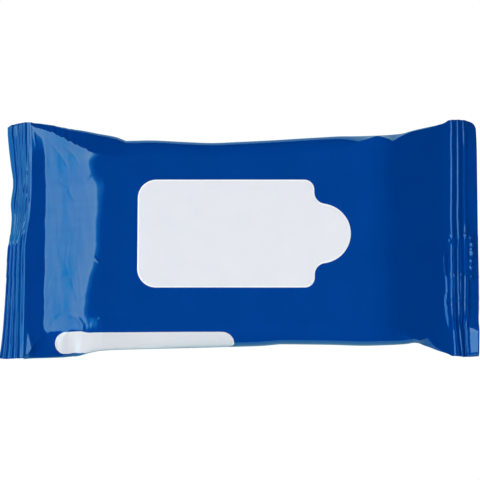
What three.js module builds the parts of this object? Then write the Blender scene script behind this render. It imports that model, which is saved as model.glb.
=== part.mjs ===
// Wet wipes pack: a flow-wrapped film pack lying on its back, with a white
// peel-and-reseal label on its top face. Millimetres, +Z up, the pack's length
// along X. The film web is one folded piece (tube, two crimped end seals and a
// fin seal folded flat along the back), and the sealed pack is one solid.
import * as THREE from "three";

// ---------------------------------------------------------------- dimensions
const THICKNESS = 16.0; // sealed pack, table to top panel
const SEAL_THICKNESS = 0.6; // two pressed film layers of an end seal, with the lacquer bead
const SIDE_RADIUS = 7.0; // how far the rounded long sides reach in plan
const WIDEST = 0.67; // height of the sides' widest line, as a share of the thickness
const ROOT_LEFT_Z = 9.6; // height of the left seal's fold line
const ROOT_RIGHT_Z = 6.9;
const ROOT_LEFT_X = -66.2; // mean place of the left seal's fold line
const ROOT_RIGHT_X = 65.3;
const SEAL_LEFT = 8.6; // seal widths along the film
const SEAL_RIGHT = 10.4;
const CRIMP_PITCH = 2.05; // ridges pressed across the seals, parallel to the cut edge
const CRIMP_HEIGHT = 0.34;
const CRIMPS_LEFT = 4;
const CRIMPS_RIGHT = 3; // the right seal ends in a plain tail
const FIN_TIP_Y = -12.0; // free edge of the back fin seal
const FIN_ROOT_Y = 2.0; // where the fin leaves the back panel
const FIN_THICKNESS = 0.45;
const LABEL = {
  left: -31.3,
  right: 23.3,
  tip: 34.5, // end of the thumb tab
  halfHeight: 16.9,
  centreY: 0.15,
  cornerLeft: 5.8,
  cornerRight: 3.1,
  tabRadius: 9.4,
  tabFillet: 3.6,
  thickness: 0.2,
  glue: 0.02,
};

// ------------------------------------------------------- outlines in the film
// Half-outlines of the pack in plan. The body runs a little askew of its seals,
// and the ears flare to the seals' full width at the four corners.
const BACK = [
  [-75, 36.4], [-72.5, 36.8], [-69, 37.1], [-66.2, 37.0], [-60, 36.2], [-55.2, 35.1], [-43.9, 32.75], [-38.6, 31.7],
  [-34.5, 30.4], [-17.3, 29.95], [-8.2, 29.6], [9.1, 30.4], [31.8, 31.75], [43.1, 32.2],
  [50.7, 33.1], [54.6, 34.3], [62.2, 36.4], [65.9, 38.2], [71.5, 38.75], [73.6, 38.5], [75.7, 37.6],
];
const FRONT = [
  [-75, -37.6], [-72, -38.0], [-67, -38.0], [-64, -37.75], [-58, -37.25], [-51.2, -36.95], [-46.8, -36.35],
  [-43, -35.65], [-35.6, -35.25], [-13.3, -34.65], [7.1, -34.05], [12.7, -33.55], [27.6, -33.7],
  [38.7, -34.0], [46.8, -33.7], [54.4, -32.85], [57.2, -33.4], [61, -35.0], [66, -36.8], [70, -36.9], [76, -36.6],
];
// Top and underside heights along the length, between the two fold lines.
const TOP = [
  [-66.2, ROOT_LEFT_Z + 0.3], [-63, 9.7], [-60.2, 9.5], [-57, 10.7], [-52, 13.0], [-47, 14.9], [-44.7, 15.57],
  [-41.5, THICKNESS], [40.5, THICKNESS], [45.1, 15.4], [49, 14.0], [51.3, 13.1], [54.9, 11.55], [61, 8.9],
  [64.4, 7.45], [65.3, ROOT_RIGHT_Z + 0.3],
];
const UNDER = [
  [-66.2, ROOT_LEFT_Z - 0.3], [-64.5, 8.2], [-61.4, 5.0], [-58, 2.4], [-54, 0.6], [-50, 0],
  [46, 0], [50.5, 0.55], [55, 2.15], [60, 4.5], [65.3, ROOT_RIGHT_Z - 0.3],
];
// The left fold line wanders, and the left seal hangs lower at mid-width.
const ROOT_LEFT_LINE = [
  [-38, -66.3], [-19, -66.35], [-3.5, -66.5], [2, -66.0], [7.7, -65.2], [15.7, -64.85], [26, -64.9], [38, -65.5],
];
const DROOP_LEFT = [
  [-38, 25], [-16, 39], [-2.5, 46], [7, 44], [11, 41], [17.7, 43], [38, 26],
];
const DROOP_RIGHT = 20;

// Monotone cubic through [x, y] rows, flat outside them.
function curve(rows) {
  const n = rows.length;
  const h = [], d = [], m = new Array(n).fill(0);
  for (let i = 0; i < n - 1; i++) {
    h.push(rows[i + 1][0] - rows[i][0]);
    d.push((rows[i + 1][1] - rows[i][1]) / h[i]);
  }
  for (let i = 1; i < n - 1; i++) {
    if (d[i - 1] * d[i] > 0) {
      const a = 2 * h[i] + h[i - 1], b = h[i] + 2 * h[i - 1];
      m[i] = (a + b) / (a / d[i - 1] + b / d[i]);
    }
  }
  m[0] = d[0];
  m[n - 1] = d[n - 2];
  return (x) => {
    if (x <= rows[0][0]) return rows[0][1];
    if (x >= rows[n - 1][0]) return rows[n - 1][1];
    let i = 0;
    while (x > rows[i + 1][0]) i++;
    const t = (x - rows[i][0]) / h[i], t2 = t * t, t3 = t2 * t;
    return (2 * t3 - 3 * t2 + 1) * rows[i][1] + (t3 - 2 * t2 + t) * h[i] * m[i]
      + (3 * t2 - 2 * t3) * rows[i + 1][1] + (t3 - t2) * h[i] * m[i + 1];
  };
}
const back = curve(BACK), front = curve(FRONT), top = curve(TOP), under = curve(UNDER);
const rootLeft = curve(ROOT_LEFT_LINE), droopLeft = curve(DROOP_LEFT);
const smooth = THREE.MathUtils.smoothstep;

// ------------------------------------------------------------------- section
// One closed section of the film tube as [y, dz, level] rows, where level runs
// from 0 (underside) to 1 (top panel) and dz is an offset in the underside.
const ARC = 5; // steps in each quarter of a rounded side
const TOP_STEPS = 9;
function section(yFront, yBack, reach, flap, widest = 0.5) {
  const rows = [];
  const a = yFront + reach, b = yBack - reach;
  // front side, from its widest line down to the underside
  for (let i = 0; i < ARC; i++) {
    const t = (i / ARC) * (Math.PI / 2);
    rows.push([a - reach * Math.cos(t), 0, widest - widest * Math.sin(t)]);
  }
  // underside: the panel lifts over the fin's free edge, then runs flush over the fin
  const lift = FIN_THICKNESS;
  const outside = flap * lift; // in a seal the plain film is thinner than the four layers at the fin
  rows.push([a, outside, 0]);
  rows.push([-20.5, outside, 0]);
  rows.push([-16.5, outside + (1 - flap) * lift * 0.35, 0]);
  rows.push([FIN_TIP_Y - 0.4, lift, 0]);
  rows.push([FIN_TIP_Y, 0, 0]);
  rows.push([-5, 0, 0]);
  rows.push([FIN_ROOT_Y, 0, 0]);
  rows.push([FIN_ROOT_Y + 1.2, outside, 0]);
  rows.push([14, outside, 0]);
  rows.push([b, outside, 0]);
  // back side, underside up to the top panel
  for (let i = 1; i <= 2 * ARC; i++) {
    const t = (i / ARC) * (Math.PI / 2);
    rows.push([b + reach * Math.sin(t), i < ARC ? outside * Math.cos(t) : 0, widest - (i < ARC ? widest : 1 - widest) * Math.cos(t)]);
  }
  // top panel, back to front, then down the front side
  for (let i = 1; i <= TOP_STEPS; i++) rows.push([b + ((a - b) * i) / TOP_STEPS, 0, 1]);
  for (let i = 1; i < ARC; i++) {
    const t = (i / ARC) * (Math.PI / 2);
    rows.push([a - reach * Math.sin(t), 0, widest + (1 - widest) * Math.cos(t)]);
  }
  return rows;
}

// A ring of the body at film station x, between the two fold lines.
function bodyRing(x) {
  const zt = top(x), zb = under(x);
  const reach = Math.min(SIDE_RADIUS, Math.max(0.3, (zt - zb) * 0.45));
  const flap = Math.max(smooth(x, 56, 65.3), 1 - smooth(x, -66.2, -56));
  const wander = 1 - smooth(x, ROOT_LEFT_X, -50);
  return section(front(x), back(x), reach, flap, WIDEST - (WIDEST - 0.5) * flap).map(([y, dz, level]) =>
    new THREE.Vector3(
      x + wander * (rootLeft(y) - ROOT_LEFT_X), y,
      zb + dz * Math.min(1, (zt - zb) / SEAL_THICKNESS) + level * (zt - zb - dz)));
}

// A ring of an end seal, s millimetres out from its fold line along the film.
function sealRing(side, s, width, crimps) {
  const station = side < 0 ? ROOT_LEFT_X - s : ROOT_RIGHT_X + s;
  const phase = (s - 0.6) / CRIMP_PITCH;
  const pressed = phase > 0 && phase < crimps ? CRIMP_HEIGHT * (0.5 - 0.5 * Math.cos(2 * Math.PI * phase)) : 0;
  return section(front(station), back(station), 0.3, 1).map(([y, dz, level]) => {
    const tilt = THREE.MathUtils.degToRad(side < 0 ? droopLeft(y) : DROOP_RIGHT);
    const x0 = side < 0 ? rootLeft(y) : ROOT_RIGHT_X;
    const z0 = side < 0 ? ROOT_LEFT_Z : ROOT_RIGHT_Z;
    const up = -SEAL_THICKNESS / 2 + dz * 0.7 - (1 - level) * 0.1 + level * (SEAL_THICKNESS - dz * 0.7) + pressed;
    return new THREE.Vector3(
      x0 + side * (s * Math.cos(tilt) + up * Math.sin(tilt)), y,
      z0 - s * Math.sin(tilt) + up * Math.cos(tilt));
  });
}

// --------------------------------------------------------------- film pack
const rings = [];
const leftStations = [SEAL_LEFT];
for (let i = 2 * CRIMPS_LEFT - 1; i >= 0; i--) leftStations.push(0.6 + i * (CRIMP_PITCH / 2));
for (const s of leftStations) if (s <= SEAL_LEFT) rings.push(sealRing(-1, s, SEAL_LEFT, CRIMPS_LEFT));
for (const x of [-65.4, -63.5, -61.4, -59, -56.5, -54, -51.5, -49, -46.5, -44, -41.5, -38, -34.5,
  -26, -17.3, -8.2, 1, 9.1, 12.7, 21, 31.8, 38.7, 43.5, 46, 48.5, 50.7, 53, 54.6, 56.5, 58.5, 60.5, 62.2, 64.4])
  rings.push(bodyRing(x));
for (let i = 0; i <= 2 * CRIMPS_RIGHT; i++) rings.push(sealRing(1, 0.6 + i * (CRIMP_PITCH / 2), SEAL_RIGHT, CRIMPS_RIGHT));
for (const s of [8.6, SEAL_RIGHT]) rings.push(sealRing(1, s, SEAL_RIGHT, CRIMPS_RIGHT));

function loft(list) {
  const m = list[0].length, positions = [], index = [];
  for (const ring of list) for (const p of ring) positions.push(p.x, p.y, p.z);
  for (let i = 0; i < list.length - 1; i++)
    for (let j = 0; j < m; j++) {
      const k = (j + 1) % m, a = i * m + j, b = i * m + k, c = (i + 1) * m + k, d = (i + 1) * m + j;
      index.push(a, b, c, a, c, d);
    }
  // the two cut edges, closed in the plane of the film's own section
  for (const [i, flip] of [[0, true], [list.length - 1, false]]) {
    const flat = section(front(i ? 76 : -75), back(i ? 76 : -75), 0.3, 1)
      .map(([y, dz, level]) => new THREE.Vector2(y, level * 0.6 + (1 - level) * (dz * 0.7 - 0.1)));
    const clockwise = THREE.ShapeUtils.isClockWise(flat);
    for (const [a, b, c] of THREE.ShapeUtils.triangulateShape(flat, []))
      if (flip !== clockwise) index.push(i * m + c, i * m + b, i * m + a);
      else index.push(i * m + a, i * m + b, i * m + c);
  }
  const g = new THREE.BufferGeometry();
  g.setAttribute("position", new THREE.Float32BufferAttribute(positions, 3));
  g.setIndex(index);
  g.computeVertexNormals();
  return g;
}
const film = new THREE.Mesh(
  loft(rings),
  new THREE.MeshStandardMaterial({ color: new THREE.Color(0.0, 0.05, 0.3), roughness: 0.2, metalness: 0.0 }));
film.name = "film_pack";

// -------------------------------------------------------------- reseal label
// A rounded rectangle with a thumb tab at its right end, joined by two fillets.
function labelShape() {
  const { left, right, tip, halfHeight: h, centreY: cy, cornerLeft: rl, cornerRight: rr, tabRadius: rt, tabFillet: rf } = LABEL;
  const tabX = tip - rt; // centre of the tab's arc
  // the fillet's centre lies rf outside the right edge and rt + rf from the tab's centre
  const fx = right + rf, dy = Math.sqrt((rt + rf) ** 2 - (fx - tabX) ** 2);
  const meet = Math.atan2(dy, fx - tabX);
  const s = new THREE.Shape();
  s.moveTo(left + rl, cy - h);
  s.lineTo(right - rr, cy - h);
  s.absarc(right - rr, cy - h + rr, rr, -Math.PI / 2, 0, false);
  s.absarc(fx, cy - dy, rf, Math.PI, Math.PI - meet, true);
  s.absarc(tabX, cy, rt, -meet, meet, false);
  s.absarc(fx, cy + dy, rf, Math.PI + meet, Math.PI, true);
  s.absarc(right - rr, cy + h - rr, rr, 0, Math.PI / 2, false);
  s.lineTo(left + rl, cy + h);
  s.absarc(left + rl, cy + h - rl, rl, Math.PI / 2, Math.PI, false);
  s.absarc(left + rl, cy - h + rl, rl, Math.PI, 1.5 * Math.PI, false);
  return s;
}
const label = new THREE.Mesh(
  new THREE.ExtrudeGeometry(labelShape(), { depth: LABEL.thickness, bevelEnabled: false, curveSegments: 10 }),
  new THREE.MeshStandardMaterial({ color: new THREE.Color(0.78, 0.8, 0.85), roughness: 0.5, metalness: 0.0 }));
label.name = "reseal_label";
label.position.z = THICKNESS + LABEL.glue;

// The frame: origin under the middle of the pack's box, on the surface it lies on.
const pack = new THREE.Group();
pack.add(film, label);
const box = new THREE.Box3().setFromObject(pack, true);
pack.position.set(-(box.min.x + box.max.x) / 2, -(box.min.y + box.max.y) / 2, -box.min.z);
export default pack;
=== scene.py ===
import math

import bpy
import bmesh
import numpy as np
from mathutils import Matrix, Vector
from mathutils.geometry import delaunay_2d_cdt


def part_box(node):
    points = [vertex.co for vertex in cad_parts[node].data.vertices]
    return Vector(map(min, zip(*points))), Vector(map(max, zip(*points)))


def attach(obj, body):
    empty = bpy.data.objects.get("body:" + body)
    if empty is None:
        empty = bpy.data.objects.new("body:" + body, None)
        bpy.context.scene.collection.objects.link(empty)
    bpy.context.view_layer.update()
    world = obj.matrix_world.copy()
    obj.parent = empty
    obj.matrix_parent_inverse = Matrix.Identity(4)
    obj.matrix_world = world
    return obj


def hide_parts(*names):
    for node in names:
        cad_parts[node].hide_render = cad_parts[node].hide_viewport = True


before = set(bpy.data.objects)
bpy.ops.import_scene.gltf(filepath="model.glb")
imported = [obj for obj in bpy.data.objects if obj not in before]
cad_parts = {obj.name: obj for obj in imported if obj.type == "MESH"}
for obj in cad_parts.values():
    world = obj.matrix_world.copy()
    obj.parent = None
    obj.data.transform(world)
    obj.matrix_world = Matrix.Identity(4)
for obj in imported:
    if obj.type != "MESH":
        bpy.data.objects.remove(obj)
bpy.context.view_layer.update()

MM = 0.001
# Everything below is drawn in millimetres in the pack's own drawing frame; OX
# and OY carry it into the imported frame, whose origin is the middle of the box.
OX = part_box("reseal_label")[0][0] / MM + 31.3
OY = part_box("reseal_label")[0][1] / MM + 16.75
TOP_Z = 16.0


# ------------------------------------------------------------------ small tools
def curve(rows):
    """Monotone cubic through (x, y) rows, flat outside them."""
    x = np.array([r[0] for r in rows], float)
    y = np.array([r[1] for r in rows], float)
    h, d = np.diff(x), np.diff(y) / np.diff(x)
    m = np.zeros(len(x))
    for i in range(1, len(x) - 1):
        if d[i - 1] * d[i] > 0:
            a, b = 2 * h[i] + h[i - 1], h[i] + 2 * h[i - 1]
            m[i] = (a + b) / (a / d[i - 1] + b / d[i])
    m[0], m[-1] = d[0], d[-1]

    def f(q):
        q = np.clip(np.asarray(q, float), x[0], x[-1])
        i = np.clip(np.searchsorted(x, q, side="right") - 1, 0, len(x) - 2)
        t = (q - x[i]) / h[i]
        return ((2 * t**3 - 3 * t**2 + 1) * y[i] + (t**3 - 2 * t**2 + t) * h[i] * m[i]
                + (3 * t**2 - 2 * t**3) * y[i + 1] + (t**3 - t**2) * h[i] * m[i + 1])

    return f


def step(v, a, b):
    t = np.clip((np.asarray(v, float) - a) / (b - a), 0, 1)
    return t * t * (3 - 2 * t)


def lattice(seed, shape):
    return np.random.RandomState(seed).uniform(-1, 1, shape)


def ease(f):
    return f * f * f * (f * (6 * f - 15) + 10)


def noise1(seed, x):
    v = lattice(seed, 512)
    x = np.asarray(x, float)
    i = np.floor(x).astype(int)
    f = ease(x - i)
    return v[i % 512] * (1 - f) + v[(i + 1) % 512] * f


def noise2(seed, x, y):
    """Gradient noise, about -1 to 1."""
    turn = lattice(seed, (128, 128)) * math.pi
    gx, gy = np.cos(turn), np.sin(turn)
    x, y = np.broadcast_arrays(np.asarray(x, float), np.asarray(y, float))
    i, j = np.floor(x).astype(int), np.floor(y).astype(int)
    u, v = x - i, y - j
    a, b, c, d = i % 128, (i + 1) % 128, j % 128, (j + 1) % 128
    p = gx[a, c] * u + gy[a, c] * v
    q = gx[b, c] * (u - 1) + gy[b, c] * v
    r = gx[a, d] * u + gy[a, d] * (v - 1)
    t = gx[b, d] * (u - 1) + gy[b, d] * (v - 1)
    f, g = ease(u), ease(v)
    return 1.5 * ((p * (1 - f) + q * f) * (1 - g) + (r * (1 - f) + t * f) * g)


def sample(grid, x0, dx, y0, dy, x, y):
    """Bilinear reading of a regular grid, held at its edges."""
    u = np.clip((np.asarray(x, float) - x0) / dx, 0, grid.shape[0] - 1.001)
    v = np.clip((np.asarray(y, float) - y0) / dy, 0, grid.shape[1] - 1.001)
    i, j = u.astype(int), v.astype(int)
    f, g = u - i, v - j
    return ((grid[i, j] * (1 - f) + grid[i + 1, j] * f) * (1 - g)
            + (grid[i, j + 1] * (1 - f) + grid[i + 1, j + 1] * f) * g)


def bump(t):
    """A rounded ridge, 1 at t = 0 and 0 from |t| = 1 on."""
    return np.where(np.abs(t) < 1, 0.5 + 0.5 * np.cos(np.pi * np.clip(t, -1, 1)), 0.0)


# ------------------------------------------------------------- outlines in plan
ROOT_L, ROOT_R = -66.2, 65.3
SEAL_L, SEAL_R = 8.6, 10.4
FILM_T = 0.26
FIN_TIP, FIN_ROOT = -12.0, 2.0

back = curve([
    (-75, 36.1), (-72.5, 36.8), (-69, 37.1), (-66.2, 37.0), (-60, 36.2), (-55.2, 35.1), (-49, 33.9), (-43.9, 32.75), (-38.6, 31.7), (-36.6, 30.9),
    (-35.4, 30.35), (-28.6, 30.45), (-17.3, 29.95), (-8.2, 29.6), (-2.2, 29.85), (9.1, 30.4), (20.4, 31.1), (31.8, 31.75),
    (43.1, 32.2), (50.7, 33.1), (54.6, 34.3), (62.2, 36.4), (64.4, 37.2), (65.9, 38.2), (71.5, 38.75), (73.6, 38.5),
    (74.8, 38.1), (75.4, 37.4), (75.7, 36.6)])
front = curve([
    (-75, -37.6), (-72, -38.0), (-67, -38.0), (-64.0, -37.85), (-60.5, -37.7), (-57, -37.5), (-54, -37.25), (-51.2, -36.97), (-49.8, -36.95), (-46.8, -36.35), (-43, -35.65),
    (-35.6, -35.25), (-24.5, -34.95), (-13.3, -34.65), (-2.2, -34.35), (7.1, -34.05), (10.5, -33.75), (12.7, -33.55),
    (27.6, -33.7), (38.7, -34.0), (46.8, -33.7), (52, -33.25), (54.4, -32.85), (55.5, -32.9), (57.2, -33.4), (58.5, -33.85), (61, -35.0), (64.5, -36.2), (66, -36.8),
    (70, -36.9), (76, -36.6)])
# how far the sides reach in from the outline to their upper crease, and the
# height of the widest point
reach_back = curve([
    (-66.2, 0.5), (-65.5, 1.5), (-62.7, 2.15), (-60.1, 2.75), (-57.5, 3.5), (-54.8, 4.25), (-52.8, 4.95), (-51.2, 5.4), (-48.9, 6.65),
    (-47, 7.15), (-44.8, 7.5), (-42.3, 7.5), (-34, 5.8), (26, 5.8), (34, 4.3), (40, 2.4), (43.0, 1.4), (45.3, 2.0), (46.9, 2.8), (48.1, 3.55), (48.9, 3.0), (50.2, 2.1), (52.2, 1.25), (55, 0.9), (58, 0.9), (62, 0.8), (65.3, 0.3)])
reach_front = curve([
    (-66.2, 0.4), (-65.0, 1.0), (-63.6, 2.8), (-61.8, 5.4), (-60, 6.4), (-57.8, 6.3), (-55.8, 6.25), (-54, 7.6), (-52, 9.2), (-46, 8.0), (-40, 7.4), (-30, 6.6), (-15, 5.9), (46, 5.6), (50, 4.2),
    (52.5, 1.9), (54.6, 0.7), (55.6, 0.4), (56.6, 1.1), (57.5, 1.9), (58.1, 2.45), (58.9, 1.75), (59.8, 0.95), (60.8, 0.5), (62, 0.5), (65.3, 0.3)])
reach_under = curve([(-66.2, 0.25), (-60, 2.4), (-52, 5.4), (-44, 7.0), (44, 7.0), (52, 5.2), (59, 2.6), (65.3, 0.25)])
mid_back = curve([
    (-66.2, 8.3), (-65.5, 7.9), (-62.7, 7.4), (-60, 7.3), (-57.5, 8.0), (-54.8, 8.8), (-51.2, 9.7), (-47, 10.5), (-42, 10.8), (-34, 10.8),
    (40, 10.8), (46, 10.3), (52, 9.0), (58, 7.8), (62, 7.4), (65.3, 7.2)])
mid_front = curve([
    (-66.2, 8.5), (-64.5, 8.9), (-62.5, 9.1), (-60, 9.0), (-57, 8.5), (-54, 7.4), (-51, 7.2), (-48.5, 9.4), (-45, 11.0), (-40, 11.4), (-30, 11.2), (-15, 10.8), (40, 10.8),
    (46, 10.3), (52, 9.0), (55, 8.2), (57.9, 6.2), (60.4, 7.2), (62, 7.4), (65.3, 7.2)])
under_z = curve([(-66.2, 1.0), (-64.5, 0.86), (-61.4, 0.52), (-58, 0.25), (-54, 0.06), (-50, 0.0), (46, 0.0), (50.5, 0.08), (55, 0.31),
                 (60, 0.66), (65.3, 1.0)])
root_left = curve([(-38, -66.3), (-36, -66.3), (-19, -66.35), (-3.5, -66.5), (2, -66.0), (7.7, -65.2), (15.7, -64.85), (26, -64.9), (38, -65.5)])
root_right = curve([(-38, 65.5), (-34.9, 65.4), (-19.2, 64.85), (0, 65.15), (19, 65.45), (38, 65.8)])


def side_profile(rows):
    """Unit profile of a side from its tilt along the arc: (out from the crease, down)."""
    q = np.linspace(0, 1, 600)
    t = np.radians(curve(rows)(q))
    u = np.concatenate([[0], np.cumsum(0.5 * (np.cos(t[1:]) + np.cos(t[:-1])))])
    d = np.concatenate([[0], np.cumsum(0.5 * (np.sin(t[1:]) + np.sin(t[:-1])))])
    return lambda p: (np.interp(p, q, u / u[-1]), np.interp(p, q, d / d[-1]))


ROUND = side_profile([(0, 0), (0.28, 15), (0.43, 27), (0.60, 40), (0.68, 56), (0.77, 73), (0.85, 82), (1, 90)])
STEEP = side_profile([(0, 5), (0.06, 20), (0.12, 56), (0.85, 60), (0.93, 78), (1, 90)])
EAR = side_profile([(0, 0), (0.10, 6), (0.28, 22), (0.84, 28), (0.90, 50), (0.95, 78), (1, 90)])
BRIM = side_profile([(0, 9), (0.06, 13), (0.80, 15.5), (0.88, 42), (0.94, 76), (1, 90)])
FACET = side_profile([(0, 29), (0.62, 31), (0.74, 45), (0.86, 70), (1, 90)])


def side_at(p, kind, facet, steep):
    a, b, c = ROUND(p), kind(p), STEEP(p)
    return tuple((a[k] + (b[k] - a[k]) * facet) * (1 - steep) + c[k] * steep for k in (0, 1))


# --------------------------------------------------- shoulders, drawn by their tilt
# The two shoulders are laid out as tilt angles over the plan and summed inwards
# to heights, because the tilt is what decides where the film catches the light.
YG = np.linspace(-40, 40, 321)
DY = YG[1] - YG[0]
XL = np.linspace(-70, -36, 341)
DXL = XL[1] - XL[0]
XR = np.linspace(38, 70, 321)
DXR = XR[1] - XR[0]


def tooth(t, a, b):
    """A ridge with one flank a wide and the other b wide."""
    return np.where(t < 0, bump(t / a), bump(t / b))


def ramp(t, a, b):
    """A ridge with straight flanks a and b wide."""
    return np.clip(np.where(t < 0, 1 + t / a, 1 - t / b), 0, 1)


def left_tilt(x, y):
    # plan lines where the shoulder starts and where the flat strip by the seal starts
    shoulder = curve([(-40, -43.5), (-30, -45.7), (-28.6, -46.1), (-26.7, -46.9), (-24.6, -48.2), (-22.9, -48.4), (-20.5, -48.0), (-17.4, -47.4),
                      (-14.3, -46.9), (-11.2, -46.2), (-6.6, -45.1), (-3.5, -44.7), (1.3, -44.7), (10.7, -44.7), (15.4, -44.8), (17.0, -45.3),
                      (20.0, -46.7), (23.4, -47.9), (25.5, -48.7), (27, -49.2), (40, -51)])(y)
    shoulder = shoulder + 0.22 * noise1(11, y / 3.1) + 0.12 * noise1(12, y / 1.3)
    foot = curve([(-40, -55.0), (-31.4, -55.4), (-31.0, -57.2), (-30.6, -58.4), (-29.9, -59.5), (-28.7, -60.0), (-25.5, -60.2), (-19.5, -60.2), (-11.6, -60.0), (-0.6, -60.3),
                  (12, -60.4), (23.3, -60.6), (29.8, -61.2), (32.3, -62.4), (34.2, -64.2), (35.8, -65.6), (38, -66.6)])(y)
    foot = foot + 0.16 * noise1(13, y / 4.0) + 0.10 * noise1(14, y / 1.6)
    d = shoulder - x
    t = curve([(-4.6, 0), (-3.2, 3), (-1.6, 7.5), (-0.7, 11), (0, 15.5), (0.5, 17.4), (2.8, 19.0), (4.6, 24), (20, 24)])(d)
    main = curve([(-40, 25.0), (-25, 24.5), (-10, 23.5), (5, 23.0), (16, 23.3), (26, 24.2), (40, 24.0)])(y)
    t = t + (main - 24) * step(d, 2.5, 5.0)
    # a shallow swelling at the upper end of the shoulder line
    t = t + 3.6 * bump((x + 42.2) / 2.2) * bump((y - 15.5) / 7.0) * step(d, 0.2, -0.6)
    # the shoulder's edge runs out along a thin fold at its upper end
    fold = curve([(-50, 27.6), (-48.3, 27.0), (-45, 26.1), (-42.3, 25.4), (-36, 24)])(x)
    t = t + 9.0 * step(fold - y, 3.0, 0.0) * step(x, -41.2, -45.0) * step(x, -52.0, -48.5)
    # upright ripples in the shoulder
    inside = step(x, foot - 0.5, foot + 1.5) * step(d, 0.4, 2.4)
    lean = x + 0.10 * y
    t = t - inside * (2.5 * bump((x - foot - 2.5) / 3.2) + 4.0 * bump((x - foot - 0.9) / 1.3) * step(y, -19, -23))
    t = t + inside * (3.8 * noise2(21, lean / 2.6, y / 17) + 3.3 * noise2(23, lean / 1.2 + 0.4 * noise1(22, y / 5), y / 10)
                      + 1.8 * noise2(25, x / 3.0, y / 3.4))
    t = t + (15.0 - t) * step(x, -60.2, -61.6) * step(y, 29.5, 31.5)
    strip = -5.5 + 10.5 * step(y, 23, 30)
    t = t + (strip - t) * step(x, foot + 0.5, foot - 0.8)
    # small pleat by the front corner of the seal
    inner = curve([(-40, -63.2), (-35.7, -63.7), (-29.5, -65.0), (40, -65.2)])(y)
    outer = curve([(-40, -65.9), (-35.7, -65.6), (-29.5, -65.3), (40, -65.3)])(y)
    pleat = step(x, inner + 0.2, inner - 0.2) * step(x, outer - 0.2, outer + 0.2) * step(y, -28.6, -30.2)
    return t + (18.5 - t) * pleat


def right_tilt(x, y):
    t = 23.5 * step(x, 38.6, 50.5) + 0.6 * noise2(31, x / 5, y / 12) * step(x, 38.6, 44)
    return t + (20.0 - t) * step(x, 62.4, 65.2)


def softened(grid, cells):
    """Gaussian smoothing along y."""
    k = np.arange(-4 * cells, 4 * cells + 1)
    w = np.exp(-0.5 * (k / cells) ** 2)
    w /= w.sum()
    pad = np.pad(grid, ((0, 0), (len(k) // 2, len(k) // 2)), mode="edge")
    return sum(w[i] * pad[:, i:i + grid.shape[1]] for i in range(len(k)))


def summed(tilt, xs, ys, toward_right):
    slope = np.tan(np.radians(tilt(xs[:, None], ys[None, :])))
    dx = abs(xs[1] - xs[0])
    if not toward_right:
        # the whole fall down to the strip by the seal changes only slowly along y
        part = np.where(xs[:, None] > -61.5, slope, 0)
        total = part.sum(axis=0)
        even = softened(total[None, :], 18)[0]
        slope = slope * np.where(xs[:, None] > -61.5, (even / total)[None, :], 1)
    if toward_right:
        fall = np.concatenate([np.zeros((1, len(ys))), np.cumsum(0.5 * (slope[1:] + slope[:-1]) * dx, axis=0)])
    else:
        r = slope[::-1]
        fall = np.concatenate([np.zeros((1, len(ys))), np.cumsum(0.5 * (r[1:] + r[:-1]) * dx, axis=0)])[::-1]
    z = TOP_Z - fall
    if not toward_right:
        # and the front half of the seal's root lies on one even line
        root = root_left(ys)
        at = np.array([np.interp(root[k], xs, z[:, k]) for k in range(len(ys))])
        lift = (softened(at[None, :], 26)[0] - at) * step(ys, 8, -2)
        z = z + lift[None, :] * step(xs, -60.8, -63.4)[:, None]
    return z


def near_path(x, y, path):
    """Distance in plan to a polyline."""
    best = np.full(np.broadcast(x, y).shape, 1e9)
    for (x0, y0), (x1, y1) in zip(path[:-1], path[1:]):
        ux, uy = x1 - x0, y1 - y0
        t = np.clip(((x - x0) * ux + (y - y0) * uy) / (ux * ux + uy * uy), 0, 1)
        best = np.minimum(best, np.hypot(x - x0 - t * ux, y - y0 - t * uy))
    return best


def rounded_path(pts, per=8):
    """Catmull-Rom points through a few plan points."""
    p = [pts[0]] + list(pts) + [pts[-1]]
    out = []
    for i in range(1, len(p) - 2):
        for k in range(per):
            t = k / per
            out.append(tuple(0.5 * (2 * p[i][c] + (p[i + 1][c] - p[i - 1][c]) * t
                                    + (2 * p[i - 1][c] - 5 * p[i][c] + 4 * p[i + 1][c] - p[i + 2][c]) * t * t
                                    + (3 * p[i][c] - p[i - 1][c] - 3 * p[i + 1][c] + p[i + 2][c]) * t ** 3) for c in (0, 1)))
    return out + [tuple(pts[-1])]


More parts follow.
